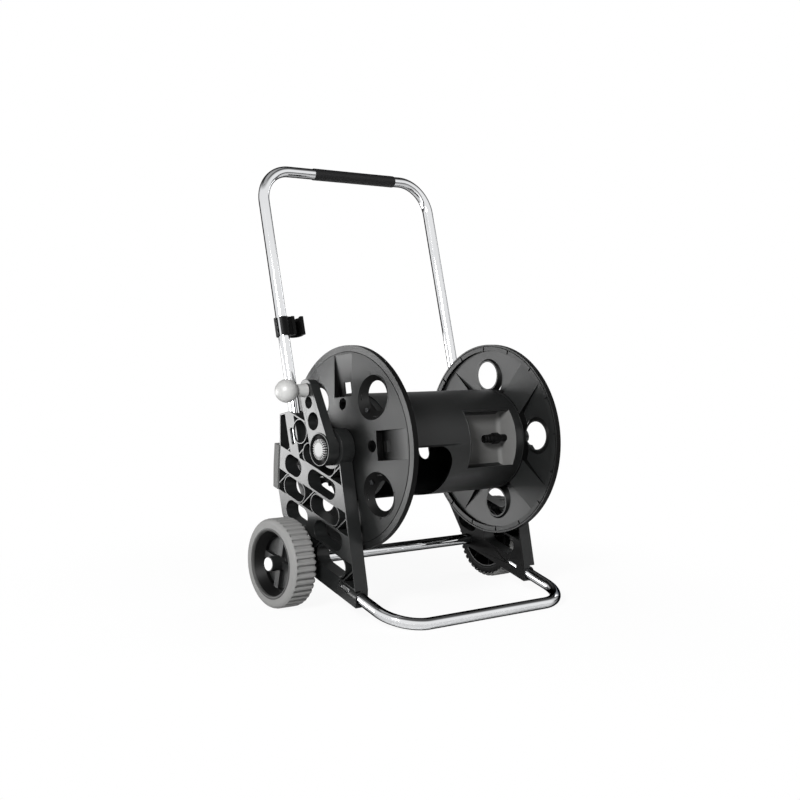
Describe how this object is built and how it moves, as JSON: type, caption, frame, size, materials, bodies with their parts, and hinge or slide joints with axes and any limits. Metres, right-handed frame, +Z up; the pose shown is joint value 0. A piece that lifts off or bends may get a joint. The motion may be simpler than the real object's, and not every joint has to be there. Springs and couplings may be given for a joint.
{
  "type": "garden hose reel cart",
  "caption": "Wheeled garden hose reel: a crank-driven drum with dished flanges between ribbed side panels, a bent tube handle and foot, and a swivelling water inlet.",
  "frame": {"origin": "on the ground under the middle of the cart's overall box", "axes": "+Z up, -Y towards the foot bar at the front, +X towards the right-hand side, with the crank on -X"},
  "size_m": [0.5639, 0.4626, 0.7772],
  "materials": {
    "black_plastic": "fine satin moulded",
    "tray_plastic": "matt, dark grey",
    "chromed_tube": "polished",
    "grey_tyre": "smooth matt",
    "grey_plastic": "satin",
    "white_cap": "gloss",
    "steel": "zinc plated",
    "grip_plastic": "soft matt",
    "cap_plastic": "gloss",
    "seal_rubber": "matt",
    "bush_plastic": "satin"
  },
  "bodies": {
    "frame": {"left_side_panel": "black_plastic", "right_side_panel": "black_plastic", "left_rear_pad": "grey_plastic", "right_rear_pad": "grey_plastic", "left_axle_cap": "white_cap", "right_axle_cap": "white_cap", "left_axle_washer": "steel", "right_axle_washer": "steel", "left_drum_bush": "bush_plastic", "right_drum_bush": "bush_plastic", "handle_tube": "chromed_tube", "handle_grip": "grip_plastic", "foot_tube": "chromed_tube", "axle_tube": "chromed_tube", "handle_screws": "steel", "foot_screws": "steel"},
    "drum": {"left_flange": "black_plastic", "right_flange": "black_plastic", "drum_barrel": "black_plastic", "connector_tray": "tray_plastic", "drum_screws": "steel", "hose_connector": "black_plastic", "feed_pipe": "black_plastic", "inlet_seals": "seal_rubber", "crank_arm": "black_plastic", "crank_screw": "steel", "crank_cap": "cap_plastic", "knob_pin": "steel"},
    "knob": {"crank_knob": "grey_plastic"},
    "left_wheel": {"left_wheel_rim": "black_plastic", "left_tyre": "grey_tyre"},
    "right_wheel": {"right_wheel_rim": "black_plastic", "right_tyre": "grey_tyre"},
    "inlet": {"inlet_elbow": "black_plastic"},
    "clip": {"hose_clip": "black_plastic"}
  },
  "joints": [
    {"name": "drum_spin", "type": "hinge", "parent": "frame", "child": "drum", "pos_m": [0, -0.036, 0.28104], "axis": [1, 0, 0], "continuous": true},
    {"name": "knob_spin", "type": "hinge", "parent": "drum", "child": "knob", "pos_m": [-0.25, 0.01006, 0.37762], "axis": [1, 0, 0], "continuous": true},
    {"name": "left_wheel_spin", "type": "hinge", "parent": "frame", "child": "left_wheel", "pos_m": [-0.2485, 0.04383, 0.0775], "axis": [1, 0, 0], "continuous": true},
    {"name": "right_wheel_spin", "type": "hinge", "parent": "frame", "child": "right_wheel", "pos_m": [0.2485, 0.04383, 0.0775], "axis": [1, 0, 0], "continuous": true},
    {"name": "inlet_swivel", "type": "hinge", "parent": "drum", "child": "inlet", "pos_m": [0.22, -0.036, 0.28104], "axis": [1, 0, 0], "continuous": true},
    {"name": "clip_turn", "type": "hinge", "parent": "frame", "child": "clip", "pos_m": [-0.193, 0.13753, 0.4815], "axis": [0, 0.2857, 0.9583], "range_deg": [-90, 90]}
  ]
}
